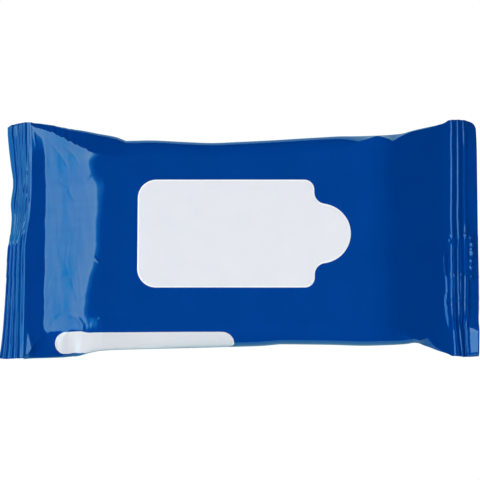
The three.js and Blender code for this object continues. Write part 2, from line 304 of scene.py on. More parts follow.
CREASES = [
    (rounded_path([(-52.9, -1.5), (-53.4, -5.5), (-53.6, -8.6), (-52.6, -12.4)]), 0.055, 0.6),
    (rounded_path([(-50.1, -6.0), (-49.6, -10.5), (-49.1, -13.8), (-48.6, -18.4), (-48.3, -20.8)]), 0.06, 0.6),
    (rounded_path([(-51.7, -14.1), (-50.6, -17.9), (-49.5, -20.2)]), 0.05, 0.55),
    (rounded_path([(-58.0, -12.0), (-58.8, -14.5), (-59.3, -16.2)]), 0.05, 0.5),
    (rounded_path([(-57.4, -17.8), (-58.6, -20.5), (-59.2, -22.6)]), 0.05, 0.5),
    (rounded_path([(-58.8, 29.5), (-56.4, 26.4), (-54.8, 24.0), (-53.5, 22.0)]), 0.085, 0.6),
    (rounded_path([(-54.5, 28.2), (-52.5, 26.4), (-50.8, 24.3), (-49.9, 22.0)]), 0.085, 0.6),
    (rounded_path([(-46.4, 18.4), (-47.2, 17.3), (-48.2, 16.6)]), 0.09, 0.6),
    (rounded_path([(-55.8, 17.5), (-54.6, 16.4), (-53.0, 16.0), (-51.8, 16.6)]), 0.085, 0.6),
    (rounded_path([(-53.0, 14.5), (-52.2, 12.6), (-51.0, 11.2)]), 0.085, 0.6),
    (rounded_path([(-56.5, 8.0), (-56.2, 3.0), (-56.6, -2.0)]), 0.04, 0.6),
    (rounded_path([(-50.8, 9.0), (-50.4, 4.0), (-50.9, -1.0)]), 0.04, 0.6),
    # a bowed crease above the front corner
    (rounded_path([(-58.4, -29.4), (-57.9, -27.8), (-56.6, -26.1), (-54.9, -25.2), (-52.9, -24.9), (-50, -25.7), (-48.8, -27), (-47.8, -28.5)]), 0.10, 1.0),
    (rounded_path([(-56.0, -25.7), (-54.9, -25.2), (-52.9, -24.9), (-50, -25.7), (-48.8, -27), (-47.8, -28.5)]), 0.11, 1.0),
    # a short nick across the shoulder line
    (rounded_path([(-44.9, -7.1), (-44.0, -7.9), (-43.0, -9.0)]), 0.21, 0.5),
    # a fine line in the strip beside the seal
    (rounded_path([(-64.5, 33.6), (-64.2, 31.5), (-63.7, 29.2)]), 0.085, 0.4)]


def left_details(x, y):
    """Creases pressed into the left shoulder, in mm of height."""
    z = 0.0 * x * y
    for path, tall, half in CREASES:
        z = z + 0.70 * tall * bump(near_path(x, y, path) / half)
    # inside the bowed crease the film falls away towards the front
    bow = curve([(-58.4, -29.4), (-57.9, -27.8), (-56.6, -26.1), (-54.9, -25.2), (-52.9, -24.9), (-50, -25.7), (-48.8, -27), (-47.8, -28.5)])(x)
    z = z - 0.20 * step(bow - y, 0.2, 4.6) * step(x, -58.2, -54.4) * step(x, -47.6, -49.4)
    # two small raised places past the shoulder line, close to the front side
    rough = 0.35 * noise2(27, x / 1.3, y / 1.3)
    z = z + 0.38 * ramp(x + 42.0 + rough, 3.7, 6.0) * step(y + rough, -25.4, -26.9)
    return z + 0.13 * ramp(x + 37.2, 0.9, 1.1) * step(y, -26.4, -27.0)


pleat_line = curve([(-40, 65.6), (-29, 65.4), (-26, 65.1), (-20, 64.7), (-14, 64.9), (-12.2, 64.75), (-11, 64.25), (-5.5, 64.0), (40, 64)])


def right_details(x, y):
    wide = curve([(-40, 0.25), (-29.5, 0.25), (-27.5, 0.6), (-24, 1.05), (-19.5, 1.15), (-17, 0.8), (-12.5, 0.7), (-11, 0.45), (-6, 0.4), (-4.5, 0.3), (40, 0.3)])(y)
    tall = 0.82 * wide * step(y, -30.0, -27.8) * step(y, -4.2, -6.0)
    dents = bump((x - 64.55) / 0.5) * bump((y + 16.4) / 1.7) + bump((x - 64.75) / 0.5) * bump((y + 20.0) / 1.4)
    return tall * tooth(x - pleat_line(y), wide, 1.7) - 0.40 * dents


ZL = softened(summed(left_tilt, XL, YG, False), 2) + left_details(XL[:, None], YG[None, :])
ZR = summed(right_tilt, XR, YG, True) + right_details(XR[:, None], YG[None, :])


def top_height(x, y):
    return np.where(x < 0, sample(ZL, XL[0], DXL, YG[0], DY, x, y), sample(ZR, XR[0], DXR, YG[0], DY, x, y))


# ------------------------------------------------------------------- end seals
tip_left = curve([(-38, -74.3), (-35, -73.85), (-28, -73.3), (-16, -72.8), (-8, -72.45), (-2.5, -72.2), (3, -71.65), (7, -71.4),
                  (11, -71.65), (17.7, -71.1), (24, -71.9), (30, -72.7), (36, -73.2), (38, -73.1)])
tip_right = curve([(-38, 74.35), (-28, 74.6), (-18.7, 74.85), (0.3, 75.05), (19.6, 75.25), (30, 75.35), (36.4, 75.25), (38, 75.1)])


def seal_surface(side):
    """Middle surface of an end seal on (s, y): x, z and the droop angle.

    The cut edge's line in plan is given, and the droop at each y is solved so
    that the seal keeps its width along the film."""
    width = SEAL_L if side < 0 else SEAL_R
    sg = np.linspace(0, width, 160)
    ds = sg[1] - sg[0]
    s, y = sg[:, None], YG[None, :]
    acc = lambda v: np.concatenate([np.zeros((1, v.shape[1])), np.cumsum(0.5 * (v[1:] + v[:-1]) * ds, axis=0)])
    gather = np.ones(len(YG))
    if side < 0:
        # the crimped film is drawn up a little half way along the seal
        gather = curve([(-38, 1.0), (-14, 0.98), (0, 0.92), (18, 0.89), (28, 0.95), (38, 1.0)])(YG)
        x0, tip = root_left(YG), tip_left(YG)
        wave = (4.0 * noise2(41, s / 4.0, y / 10.0) + 1.5 * noise2(42, s / 2.0, y / 7.0)) * step(s, 0.5, 3)
        shape = lambda d: -5 + (d + 5) * step(s, -0.3, 0.6) + wave
    else:
        x0, tip = root_right(YG), tip_right(YG)
        fore = step(y, -22.5, -29.8)
        bent = step(s, 4.9, 5.6) * step(s, 10.35, 10.0) * fore * step(y, -37.2, -35.8)
        share = step(s, -0.2, 1.5) * (1 - fore) + 1.8 * bump((s - 4.6) / 0.75) * fore
        wave = 1.2 * noise2(43, s / 4, y / 8)
        shape = lambda d: (20 + (d - 20) * share + wave) * (1 - bent) - 25 * bent
    lo, hi = np.full((1, len(YG)), 2.0), np.full((1, len(YG)), 75.0)
    for _ in range(30):
        d = 0.5 * (lo + hi)
        long = acc(np.cos(np.radians(shape(d))))[-1:] * gather > np.abs(tip - x0)[None, :]
        lo, hi = np.where(long, d, lo), np.where(long, hi, d)
    a = np.radians(shape(0.5 * (lo + hi)))
    z0 = top_height(x0, YG)
    return sg, x0[None, :] + side * gather * acc(np.cos(a)), z0[None, :] - gather * acc(np.sin(a)), a


SURF = {-1: seal_surface(-1), 1: seal_surface(1)}


def in_fin(y):
    return step(y, FIN_TIP - 0.35, FIN_TIP + 0.15) * (1 - step(y, FIN_ROOT - 0.6, FIN_ROOT))


# pressed marks on the seals: (s, y, height, half length along s, half length along y)
MARKS_LEFT = [(1.8, 20.9, 0.22, 0.55, 0.8), (2.7, 16.4, -0.22, 0.6, 0.8), (3.5, 15.2, 0.22, 0.6, 0.9), (2.1, 13.4, -0.22, 0.5, 0.8),
              (1.0, 12.0, 0.20, 0.6, 0.7), (1.3, 2.1, 0.25, 0.45, 0.7), (3.0, 18.2, 0.18, 0.5, 0.7), (2.4, 5.5, 0.14, 0.5, 0.9)]
MARKS_RIGHT = [(7.7, 0.5, 0.79, 0.7, 0.9), (8.0, -1.7, 0.96, 0.85, 1.2), (8.1, -4.4, 1.0, 0.9, 1.3), (7.9, -6.9, 0.85, 0.75, 1.0),
               (7.8, -9.0, 0.79, 0.7, 1.1), (7.8, -11.7, 0.73, 0.65, 0.8),
               (1.2, 0.9, 0.48, 0.5, 0.7), (3.5, 0.7, 0.45, 0.5, 0.7), (5.8, 1.3, 0.48, 0.5, 0.8), (0.7, -0.6, 0.45, 0.45, 0.9),
               (2.2, -11.5, 0.30, 0.45, 0.6), (4.5, -11.2, 0.30, 0.45, 0.6)]


steep_left = curve([(-40, 1.05), (-30, 1.1), (-20, 1.25), (-8, 1.45), (4, 1.35), (17, 1.35), (24, 1.3), (28, 1.3), (32, 1.35), (38, 1.2)])
# ridges of the left seal's back half: (place, inner flank, outer flank, height)
RIDGES = [(0.95, 0.35, 0.60, 0.06), (2.3, 0.70, 0.80, 0.20), (3.5, 0.40, 0.75, 0.13), (4.55, 0.32, 0.85, 0.12), (5.75, 0.38, 0.45, 0.12), (6.95, 0.70, 1.40, 0.21)]


def crimps(side, s, y):
    """Height of the pressed ridges across a seal."""
    fin = in_fin(y)
    out = 0.0 * s * y
    if side < 0:
        low = step(y + 1.1 * noise1(49, s / 1.3) + 0.3 * (s - 4), 2.8, -1.6)
        for k, (c, cl) in enumerate(((1.9, 2.05), (3.85, 4.15), (5.85, 6.2), (7.75, 7.95))):
            at = c + (cl - c) * low + 0.28 * noise1(50 + k, y / 7.0) * (1 - 0.6 * low) + 0.10 * noise1(60 + k, y / 2.1) * (1 - 0.6 * low) + 0.06 * fin
            tall = 0.31 * (1 + 0.15 * noise1(70 + k, y / 5.0)) * steep_left(y)
            out = out + tall * low * 1.5 * ramp(s - at, 0.72, 0.70)
            at3 = at + 0.55 + 0.2 * noise1(95 + k, y / 6.0)
            out = out + 0.032 * low * (1 + noise1(100 + k, y / 2.5)) * bump((s - at3) / 0.32)
        for k, (c, a, b, h) in enumerate(RIDGES):
            at = c + 0.20 * noise1(50 + k, y / 9.0) + 0.06 * noise1(80 + k, y / 2.6)
            tall = 1.3 * h * (1 + 0.30 * noise1(90 + k, y / 7.0)) * (1 - 0.15 * fin) * steep_left(y)
            out = out + (1 - low) * tall * ramp(s - at, a, b)
        edge = step(s, 0.1, 0.8) * (1 - step(s, SEAL_L - 0.5, SEAL_L))
        marks = MARKS_LEFT
    else:
        upper = step(y, -0.6, 1.0)
        lower = 1 - step(y, -12.6, -11.4)
        strength = [curve([(-40, 1), (29, 1.0), (32, 0.95), (40, 0.95)]), curve([(-40, 1.1), (29, 1.05), (32, 0.95), (40, 0.95)]),
                    curve([(-40, 1), (0, 1.05), (3.5, 0.95), (6, 0.6), (29, 0.58), (31.5, 0.9), (40, 0.9)])]
        for k, c in enumerate((1.4, 3.65, 5.9)):
            at = c + 0.10 * noise1(150 + k, y / 8.0) + 0.06 * noise1(160 + k, y / 2.3)
            out = out + upper * 0.38 * strength[k](y) * tooth(s - at, 0.44, 1.75)
            at = at + 0.40 * step(y, -20, -37)
            pair = 0.24 + (0.40 - 0.24) * lower
            for q, (off, part) in enumerate(((-0.1, 1.0), (0.72, 0.92))):
                wob = 0.10 * noise1(180 + 2 * k + q, y / 4.0)
                g = 1 + 0.2 * noise1(190 + 2 * k + q, y / 5.0)
                # the last ridge ends short where the corner is bent up
                wide = 1.2 - 0.65 * (k + q == 3) * step(y, -22.5, -29.8)
                out = out + (1 - upper) * pair * part * g * tooth(s - at - off - wob, 0.44, wide)
        edge = step(s, 0.2, 0.9)
        marks = MARKS_RIGHT
    out = out * edge
    for ms, my, h, ls, ly in marks:
        t = s - ms + 0.25 * (y - my)
        wedge = ramp(t, ls, 2.0 * ls)
        out = out + h * (bump(t / ls) * bump((y - my) / ly) if side < 0 else wedge * step(np.abs(y - my), ly, 0.55 * ly))
    return out


def seal_point(side, s, y, up):
    sg, gx, gz, ga = SURF[side]
    ds = sg[1] - sg[0]
    x, z = sample(gx, 0, ds, YG[0], DY, s, y), sample(gz, 0, ds, YG[0], DY, s, y)
    a = sample(ga, 0, ds, YG[0], DY, s, y)
    lift = up + crimps(side, s, y)
    return x + side * lift * np.sin(a), z + lift * np.cos(a)


# -------------------------------------------------------------------- the film
def spaced(a, b, gap):
    return np.linspace(a, b, max(2, int(round((b - a) / gap)) + 1))


STATIONS = np.concatenate([
    spaced(ROOT_L - SEAL_L, ROOT_L, 0.12), spaced(ROOT_L, -41, 0.27)[1:], spaced(-41, 42, 1.4)[1:],
    spaced(42, 62.4, 0.6)[1:], spaced(62.4, ROOT_R, 0.2)[1:], spaced(ROOT_R, ROOT_R + SEAL_R, 0.13)[1:]])
N_FRONT, N_TOP, N_BACK, N_LOW = 22, 164, 18, 8
BOTTOM_FREE = 10  # points of the back panel on each side of the fin


def ring_layout():
    """Ring rows as (zone, parameter), once round the film from the front edge."""
    rows = [("ft", k / N_FRONT) for k in range(N_FRONT)]
    rows += [("top", k / N_TOP) for k in range(N_TOP + 1)]
    rows += [("bt", 1 - k / N_BACK) for k in range(1, N_BACK + 1)]
    rows += [("bb", k / N_LOW) for k in range(1, N_LOW)]
    rows += [("under_b", k / BOTTOM_FREE) for k in range(BOTTOM_FREE + 1)]
    rows += [("fin_low", k / 8) for k in range(1, 9)]
    rows += [("fin_tip", 0.5)]
    rows += [("fin_up", k / 8) for k in range(0, 9)]
    rows += [("slit", 0.5)]
    rows += [("panel", k / 8) for k in range(0, 9)]
    rows += [("under_f", k / BOTTOM_FREE) for k in range(1, BOTTOM_FREE + 1)]
    rows += [("fb", 1 - k / N_LOW) for k in range(1, N_LOW)]
    return rows


RING = ring_layout()
FLAP = 0.30  # thickness of the folded fin


def film_points():
    n, m = len(STATIONS), len(RING)
    P = np.zeros((n, m, 3))
    for i, X in enumerate(STATIONS):
        yf, yb = float(front(X)), float(back(X))
        side = -1 if X < ROOT_L - 1e-6 else (1 if X > ROOT_R + 1e-6 else 0)
        rb, rf, ru = float(reach_back(X)), float(reach_front(X)), float(reach_under(X))
        # the left end of the back crease is a little crumpled
        rb += float((0.28 * noise1(17, X / 1.25) + 0.16 * noise1(18, X / 0.6)) * step(X, -61.5, -58) * step(X, -44.5, -47))
        y = np.zeros(m)
        level = np.zeros(m)  # 1 top skin, 0 under skin, between them on the rounded sides
        low = np.zeros(m)    # height above the under skin's own line
        fold_f, fold_b = float(1 - step(X, -36, -14)), float(1 - step(X, -44, -26))
        crisp_f, crisp_b = float(step(X, 53.6, 55.2) * step(X, 62.2, 60.4)), float(step(X, 30, 43.2) * step(X, 61.0, 51.7))
        brim = float(step(X, -54.5, -58.5))
        drop = np.zeros(m)   # share of the fall from the crease to the widest point
        for j, (zone, t) in enumerate(RING):
            if zone == "ft":
                u, drop[j] = side_at(1 - t, lambda q: tuple(e + (f - e) * brim for e, f in zip(EAR(q), BRIM(q))), fold_f, crisp_f)
                y[j], level[j] = yf + rf * (1 - u), 1 - 0.5 * drop[j]
            elif zone == "top":
                y[j], level[j] = (yf + rf) + (yb - rb - yf - rf) * t, 1
            elif zone == "bt":
                u, drop[j] = side_at(1 - t, FACET, fold_b, crisp_b)
                y[j], level[j] = yb - rb * (1 - u), 1 - 0.5 * drop[j]
            elif zone == "bb":
                a = t * math.pi / 2
                y[j], level[j] = yb - ru * (1 - math.cos(a)), 0.5 - 0.5 * math.sin(a)
            elif zone == "under_b":
                y[j] = (yb - ru) + (FIN_ROOT - yb + ru) * t
            elif zone == "fin_low":
                y[j] = FIN_ROOT + (FIN_TIP - FIN_ROOT) * t
            elif zone == "fin_tip":
                y[j], low[j] = FIN_TIP - 0.12, FLAP / 2
            elif zone == "fin_up":
                y[j], low[j] = FIN_TIP + (FIN_ROOT - 0.6 - FIN_TIP) * t, FLAP
            elif zone == "slit":
                y[j], low[j] = FIN_ROOT - 0.45, FLAP + 0.03
            elif zone == "panel":
                y[j], low[j] = FIN_ROOT - 0.6 + (FIN_TIP - 0.6 - FIN_ROOT + 0.6) * t, FLAP + 0.06
            elif zone == "under_f":
                y[j] = FIN_TIP - 0.6 + (yf + ru - FIN_TIP + 0.6) * t
                low[j] = (FLAP + 0.06) * (1 - step(-y[j], -(FIN_TIP - 0.6), 20.5))
            else:
                a = t * math.pi / 2
                y[j], level[j] = yf + ru * (1 - math.cos(a)), 0.5 - 0.5 * math.sin(a)
        if side:
            s = np.full(m, (ROOT_L - X) if side < 0 else (X - ROOT_R))
            up = FILM_T * (level - 1) + 0.5 * FILM_T * step(s, 0, 2.2)
            # under the seal the fin's four layers stand below the plain film
            fin_zone = np.isin([r[0] for r in RING], ("fin_low", "fin_tip", "fin_up", "slit", "panel"))
            up = np.where(fin_zone, up - (FLAP - low) * 0.6, up)
            up = np.where((level == 1), up + 0.14 * in_fin(y) * step(s, 0.3, 2.0), up)
            x, z = seal_point(side, s, y, up)
        else:
            wl = 1 - step(X, ROOT_L, -52)
            wr = step(X, 54, ROOT_R)
            x = X + wl * (root_left(y) - ROOT_L) + wr * (root_right(y) - ROOT_R)
            zt = top_height(x, y)
            # height of the film where the rounded sides start, carried round them
            xa = X + wl * (root_left(yf + rf) - ROOT_L) + wr * (root_right(yf + rf) - ROOT_R)
            xb = X + wl * (root_left(yb - rb) - ROOT_L) + wr * (root_right(yb - rb) - ROOT_R)
            za, zb_ = float(top_height(xa, yf + rf)), float(top_height(xb, yb - rb))
            rx = root_left(y) if X < 0 else root_right(y)
            zroot = top_height(rx, y)
            zu = under_z(X) * (zroot - FILM_T)
            half = (level - 0.5) * 2
            zmf, zmb = min(float(mid_front(X)), za - 0.1), min(float(mid_back(X)), zb_ - 0.1)
            zmb = zmb + fold_b * max(0.0, zb_ - 0.78 * rb - zmb)
            z = zu + low * (1 - 0.4 * np.clip(under_z(X), 0, 1))
            for j, (zone, t) in enumerate(RING):
                if zone == "top":
                    z[j] = zt[j]
                elif zone == "ft":
                    z[j] = za - (za - zmf) * drop[j]
                elif zone == "bt":
                    z[j] = zb_ - (zb_ - zmb) * drop[j]
                elif zone == "bb":
                    zz = float(under_z(X) * (top_height(root_left(yb - ru) if X < 0 else root_right(yb - ru), yb - ru) - FILM_T))
                    z[j] = zmb + (zz - zmb) * (-half[j])
                elif zone == "fb":
                    zz = float(under_z(X) * (top_height(root_left(yf + ru) if X < 0 else root_right(yf + ru), yf + ru) - FILM_T))
                    z[j] = zmf + (zz - zmf) * (-half[j])
        P[i, :, 0], P[i, :, 1], P[i, :, 2] = x, y, z
    return P


PTS = film_points()


def ring_faces(n, m):
    faces = []
    for i in range(n - 1):
        a, b = i * m, (i + 1) * m
        for j in range(m):
            k = (j + 1) % m
            faces.append((a + j, b + j, b + k, a + k))
    return faces


def cap_faces(points, base, flip):
    """Close a cut edge: the upper and under rows of the last ring are stitched in order of y."""
    zones = [r[0] for r in RING]
    first = zones.index("under_b")
    upper = list(range(0, zones.index("bb")))
    lower = [j for j in range(len(zones) - 1, zones.index("bb") - 1, -1)]
    out, a, b = [], 0, 0
    while a < len(upper) - 1 or b < len(lower) - 1:
        ya = points[upper[min(a + 1, len(upper) - 1)], 1]
        yb_ = points[lower[min(b + 1, len(lower) - 1)], 1]
        if b >= len(lower) - 1 or (a < len(upper) - 1 and ya <= yb_):
            tri = (upper[a], upper[a + 1], lower[b])
            a += 1
        else:
            tri = (upper[a], lower[b + 1], lower[b])
            b += 1
        out.append(tuple(base + t for t in (tri if not flip else tri[::-1])))
    return out


def new_object(name, verts, faces, material, smooth=True):
    mesh = bpy.data.meshes.new(name)
    mesh.from_pydata([tuple(v) for v in verts], [], faces)
    mesh.update()
    if smooth:
        mesh.polygons.foreach_set("use_smooth", np.ones(len(mesh.polygons), bool))
    mesh.materials.append(material)
    ob = bpy.data.objects.new(name, mesh)
    bpy.context.scene.collection.objects.link(ob)
    return ob


def place(p):
    q = np.array(p, float).copy()
    q[..., 0] += OX
    q[..., 1] += OY
    return q * MM


# ------------------------------------------------------------------- materials
def material(name):
    m = bpy.data.materials.new(name)
    m.use_nodes = True
    nt = m.node_tree
    return m, nt, nt.nodes["Principled BSDF"]


def film_material():
    m, nt, p = material("printed_film")
    p.inputs["Metallic"].default_value = 0.0
    p.inputs["IOR"].default_value = 1.5
    p.inputs["Specular Tint"].default_value = (0.38, 0.98, 1.0, 1.0)
    coord = nt.nodes.new("ShaderNodeTexCoord")
    # ink lay-down: a very slight mottle in the blue
    mottle = nt.nodes.new("ShaderNodeTexNoise")
    mottle.inputs["Scale"].default_value = 90.0
    mottle.inputs["Detail"].default_value = 3.0
    nt.links.new(coord.outputs["Object"], mottle.inputs["Vector"])
    ink = nt.nodes.new("ShaderNodeValToRGB")
    ink.color_ramp.elements[0].position, ink.color_ramp.elements[1].position = 0.3, 0.7
    ink.color_ramp.elements[0].color = (0.0, 0.0480, 0.290, 1)
    ink.color_ramp.elements[1].color = (0.0, 0.0525, 0.312, 1)
    nt.links.new(mottle.outputs["Fac"], ink.inputs["Fac"])
    pale = nt.nodes.new("ShaderNodeValToRGB")
    pale.color_ramp.elements[0].position, pale.color_ramp.elements[1].position = 0.3, 0.7
    pale.color_ramp.elements[0].color = (0.685, 0.72, 0.77, 1)
    pale.color_ramp.elements[1].color = (0.71, 0.745, 0.79, 1)
    nt.links.new(mottle.outputs["Fac"], pale.inputs["Fac"])
    mark = nt.nodes.new("ShaderNodeAttribute")
    mark.attribute_name = "print_field"
    edge = nt.nodes.new("ShaderNodeValToRGB")
    edge.color_ramp.elements[0].position, edge.color_ramp.elements[1].position = 0.49, 0.51
    edge.color_ramp.elements[0].color = (0, 0, 0, 1)
    edge.color_ramp.elements[1].color = (1, 1, 1, 1)
    nt.links.new(mark.outputs["Fac"], edge.inputs["Fac"])
    mix = nt.nodes.new("ShaderNodeMix")
    mix.data_type = "RGBA"
    nt.links.new(edge.outputs["Color"], mix.inputs["Factor"])
    nt.links.new(ink.outputs["Color"], mix.inputs["A"])
    nt.links.new(pale.outputs["Color"], mix.inputs["B"])
    nt.links.new(mix.outputs["Result"], p.inputs["Base Color"])
    # gloss: a smooth film with faint handling marks
    rub = nt.nodes.new("ShaderNodeTexNoise")
    rub.inputs["Scale"].default_value = 240.0
    rub.inputs["Detail"].default_value = 4.0
    nt.links.new(coord.outputs["Object"], rub.inputs["Vector"])
    gloss = nt.nodes.new("ShaderNodeMapRange")
    gloss.inputs["To Min"].default_value = 0.035
    gloss.inputs["To Max"].default_value = 0.075
    nt.links.new(rub.outputs["Fac"], gloss.inputs["Value"])
    nt.links.new(gloss.outputs["Result"], p.inputs["Roughness"])
    grain = nt.nodes.new("ShaderNodeBump")
    grain.inputs["Strength"].default_value = 0.05
    grain.inputs["Distance"].default_value = 0.00005
    nt.links.new(rub.outputs["Fac"], grain.inputs["Height"])
    nt.links.new(grain.outputs["Normal"], p.inputs["Normal"])
    return m


def label_material():
    m, nt, p = material("label_film")
    p.inputs["IOR"].default_value = 1.45
    coord = nt.nodes.new("ShaderNodeTexCoord")
    cloud = nt.nodes.new("ShaderNodeTexNoise")
    cloud.inputs["Scale"].default_value = 120.0
    cloud.inputs["Detail"].default_value = 4.0
    nt.links.new(coord.outputs["Object"], cloud.inputs["Vector"])
    tone = nt.nodes.new("ShaderNodeValToRGB")
    tone.color_ramp.elements[0].position, tone.color_ramp.elements[1].position = 0.3, 0.7
    tone.color_ramp.elements[0].color = (0.732, 0.758, 0.812, 1)
    tone.color_ramp.elements[1].color = (0.762, 0.783, 0.832, 1)
    nt.links.new(cloud.outputs["Fac"], tone.inputs["Fac"])
    # a lighter white along the cut edge and rim: a painted edge highlight
    cut = nt.nodes.new("ShaderNodeAttribute")
    cut.attribute_name = "painted_edge_glint"
    glint_ramp = nt.nodes.new("ShaderNodeValToRGB")
    glint_ramp.color_ramp.elements[0].position, glint_ramp.color_ramp.elements[1].position = 0.1, 0.5
    glint_ramp.color_ramp.elements[0].color = (0, 0, 0, 1)
    glint_ramp.color_ramp.elements[1].color = (1, 1, 1, 1)
    nt.links.new(cut.outputs["Fac"], glint_ramp.inputs["Fac"])
    both = nt.nodes.new("ShaderNodeMix")
    both.data_type = "RGBA"
    both.inputs["B"].default_value = (0.90, 0.93, 0.97, 1)
    nt.links.new(glint_ramp.outputs["Color"], both.inputs["Factor"])
    nt.links.new(tone.outputs["Color"], both.inputs["A"])
    nt.links.new(both.outputs["Result"], p.inputs["Base Color"])
    dull = nt.nodes.new("ShaderNodeMapRange")
    dull.inputs["To Min"].default_value = 0.42
    dull.inputs["To Max"].default_value = 0.55
    nt.links.new(cloud.outputs["Fac"], dull.inputs["Value"])
    nt.links.new(dull.outputs["Result"], p.inputs["Roughness"])
    grain = nt.nodes.new("ShaderNodeBump")
    grain.inputs["Strength"].default_value = 0.12
    grain.inputs["Distance"].default_value = 0.00006
    nt.links.new(cloud.outputs["Fac"], grain.inputs["Height"])
    nt.links.new(grain.outputs["Normal"], p.inputs["Normal"])
    return m


# ------------------------------------------------------------------ build film
n, m = PTS.shape[:2]
faces = ring_faces(n, m) + cap_faces(PTS[0], 0, True) + cap_faces(PTS[-1], (n - 1) * m, False)
film = new_object("film_wrapper", place(PTS).reshape(-1, 3), faces, film_material())
bm = bmesh.new()
bm.from_mesh(film.data)
bmesh.ops.recalc_face_normals(bm, faces=bm.faces)
if bm.calc_volume(signed=True) < 0:
    bmesh.ops.reverse_faces(bm, faces=bm.faces)
bm.to_mesh(film.data)
bm.free()


def print_field():
    """Signed distance of the pale printed strip on the film, 0.5 at its edge."""
    zones = [r[0] for r in RING]
    order = list(range(zones.index("top") + N_TOP // 2, -1, -1)) + list(range(m - 1, zones.index("under_f"), -1))
    out = np.zeros((n, m))
    top_line = curve([(-57, -30.0), (-53, -30.1), (-49, -30.1), (-46, -30.6), (-30, -30.5), (0, -30.4)])
    for i, X in enumerate(STATIONS):
        if X < -62 or X > 4:
            continue
        p = PTS[i, order]
        along = np.concatenate([[0], np.cumsum(np.linalg.norm(np.diff(p, axis=0), axis=1))])
        yt = float(top_line(X))
        k = int(np.argmax(p[:, 1] < yt))
        f = (p[k - 1, 1] - yt) / max(1e-9, p[k - 1, 1] - p[k, 1])
        a0 = along[k - 1] + f * (along[k] - along[k - 1])
        r = 3.7
        w = along - a0 - r
        cx = np.clip(X, -56.7 + r, -1.5 - r)
        d = np.hypot(X - cx, w) - r
        out[i, order] = np.clip(0.5 - d / 4.0, 0, 1)
    return out


attr = film.data.attributes.new("print_field", "FLOAT", "POINT")
attr.data.foreach_set("value", print_field().reshape(-1).astype(np.float32))
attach(film, "root")
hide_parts("film_pack")


# ----------------------------------------------------------------- build label
def label_outline(grow=0.0, fine=14):
    left, right, tip, h, cy = -31.3 - grow, 23.3 + grow, 34.5 + grow, 16.9 + grow, 0.15
    rl, rr, rt, rf = 5.8 + grow, 3.1 + grow, 9.4 + grow, 3.6 - grow
    tab = tip - rt
    fx = right + rf
    dy = math.sqrt((rt + rf) ** 2 - (fx - tab) ** 2)
    meet = math.atan2(dy, fx - tab)
    pts = []

    def arc(cx, cyy, r, a0, a1, k):
        for q in range(k + 1):
            a = a0 + (a1 - a0) * q / k
            p = (cx + r * math.cos(a), cyy + r * math.sin(a))
            if not pts or math.hypot(p[0] - pts[-1][0], p[1] - pts[-1][1]) > 0.02:
                pts.append(p)

    def line(x1, y1):
        x0, y0 = pts[-1]
        k = max(1, int(math.hypot(x1 - x0, y1 - y0) / 1.2))
        for q in range(1, k + 1):
            p = (x0 + (x1 - x0) * q / k, y0 + (y1 - y0) * q / k)
            if math.hypot(p[0] - pts[-1][0], p[1] - pts[-1][1]) > 0.02:
                pts.append(p)

    pts.append((left + rl, cy - h))
    line(right - rr, cy - h)
    arc(right - rr, cy - h + rr, rr, -math.pi / 2, 0, fine)
    line(right, cy - dy)
    arc(fx, cy - dy, rf, math.pi, math.pi - meet, fine)
    arc(tab, cy, rt, -meet, meet, 3 * fine)
    arc(fx, cy + dy, rf, math.pi + meet, math.pi, fine)
    line(right, cy + h - rr)
    arc(right - rr, cy + h - rr, rr, 0, math.pi / 2, fine)
    line(left + rl, cy + h)
    arc(left + rl, cy + h - rl, rl, math.pi / 2, math.pi, fine)
    line(left, cy - h + rl)
    arc(left + rl, cy - h + rl, rl, math.pi, 1.5 * math.pi, fine)
    if math.hypot(pts[0][0] - pts[-1][0], pts[0][1] - pts[-1][1]) < 0.02:
        pts.pop()
    return pts


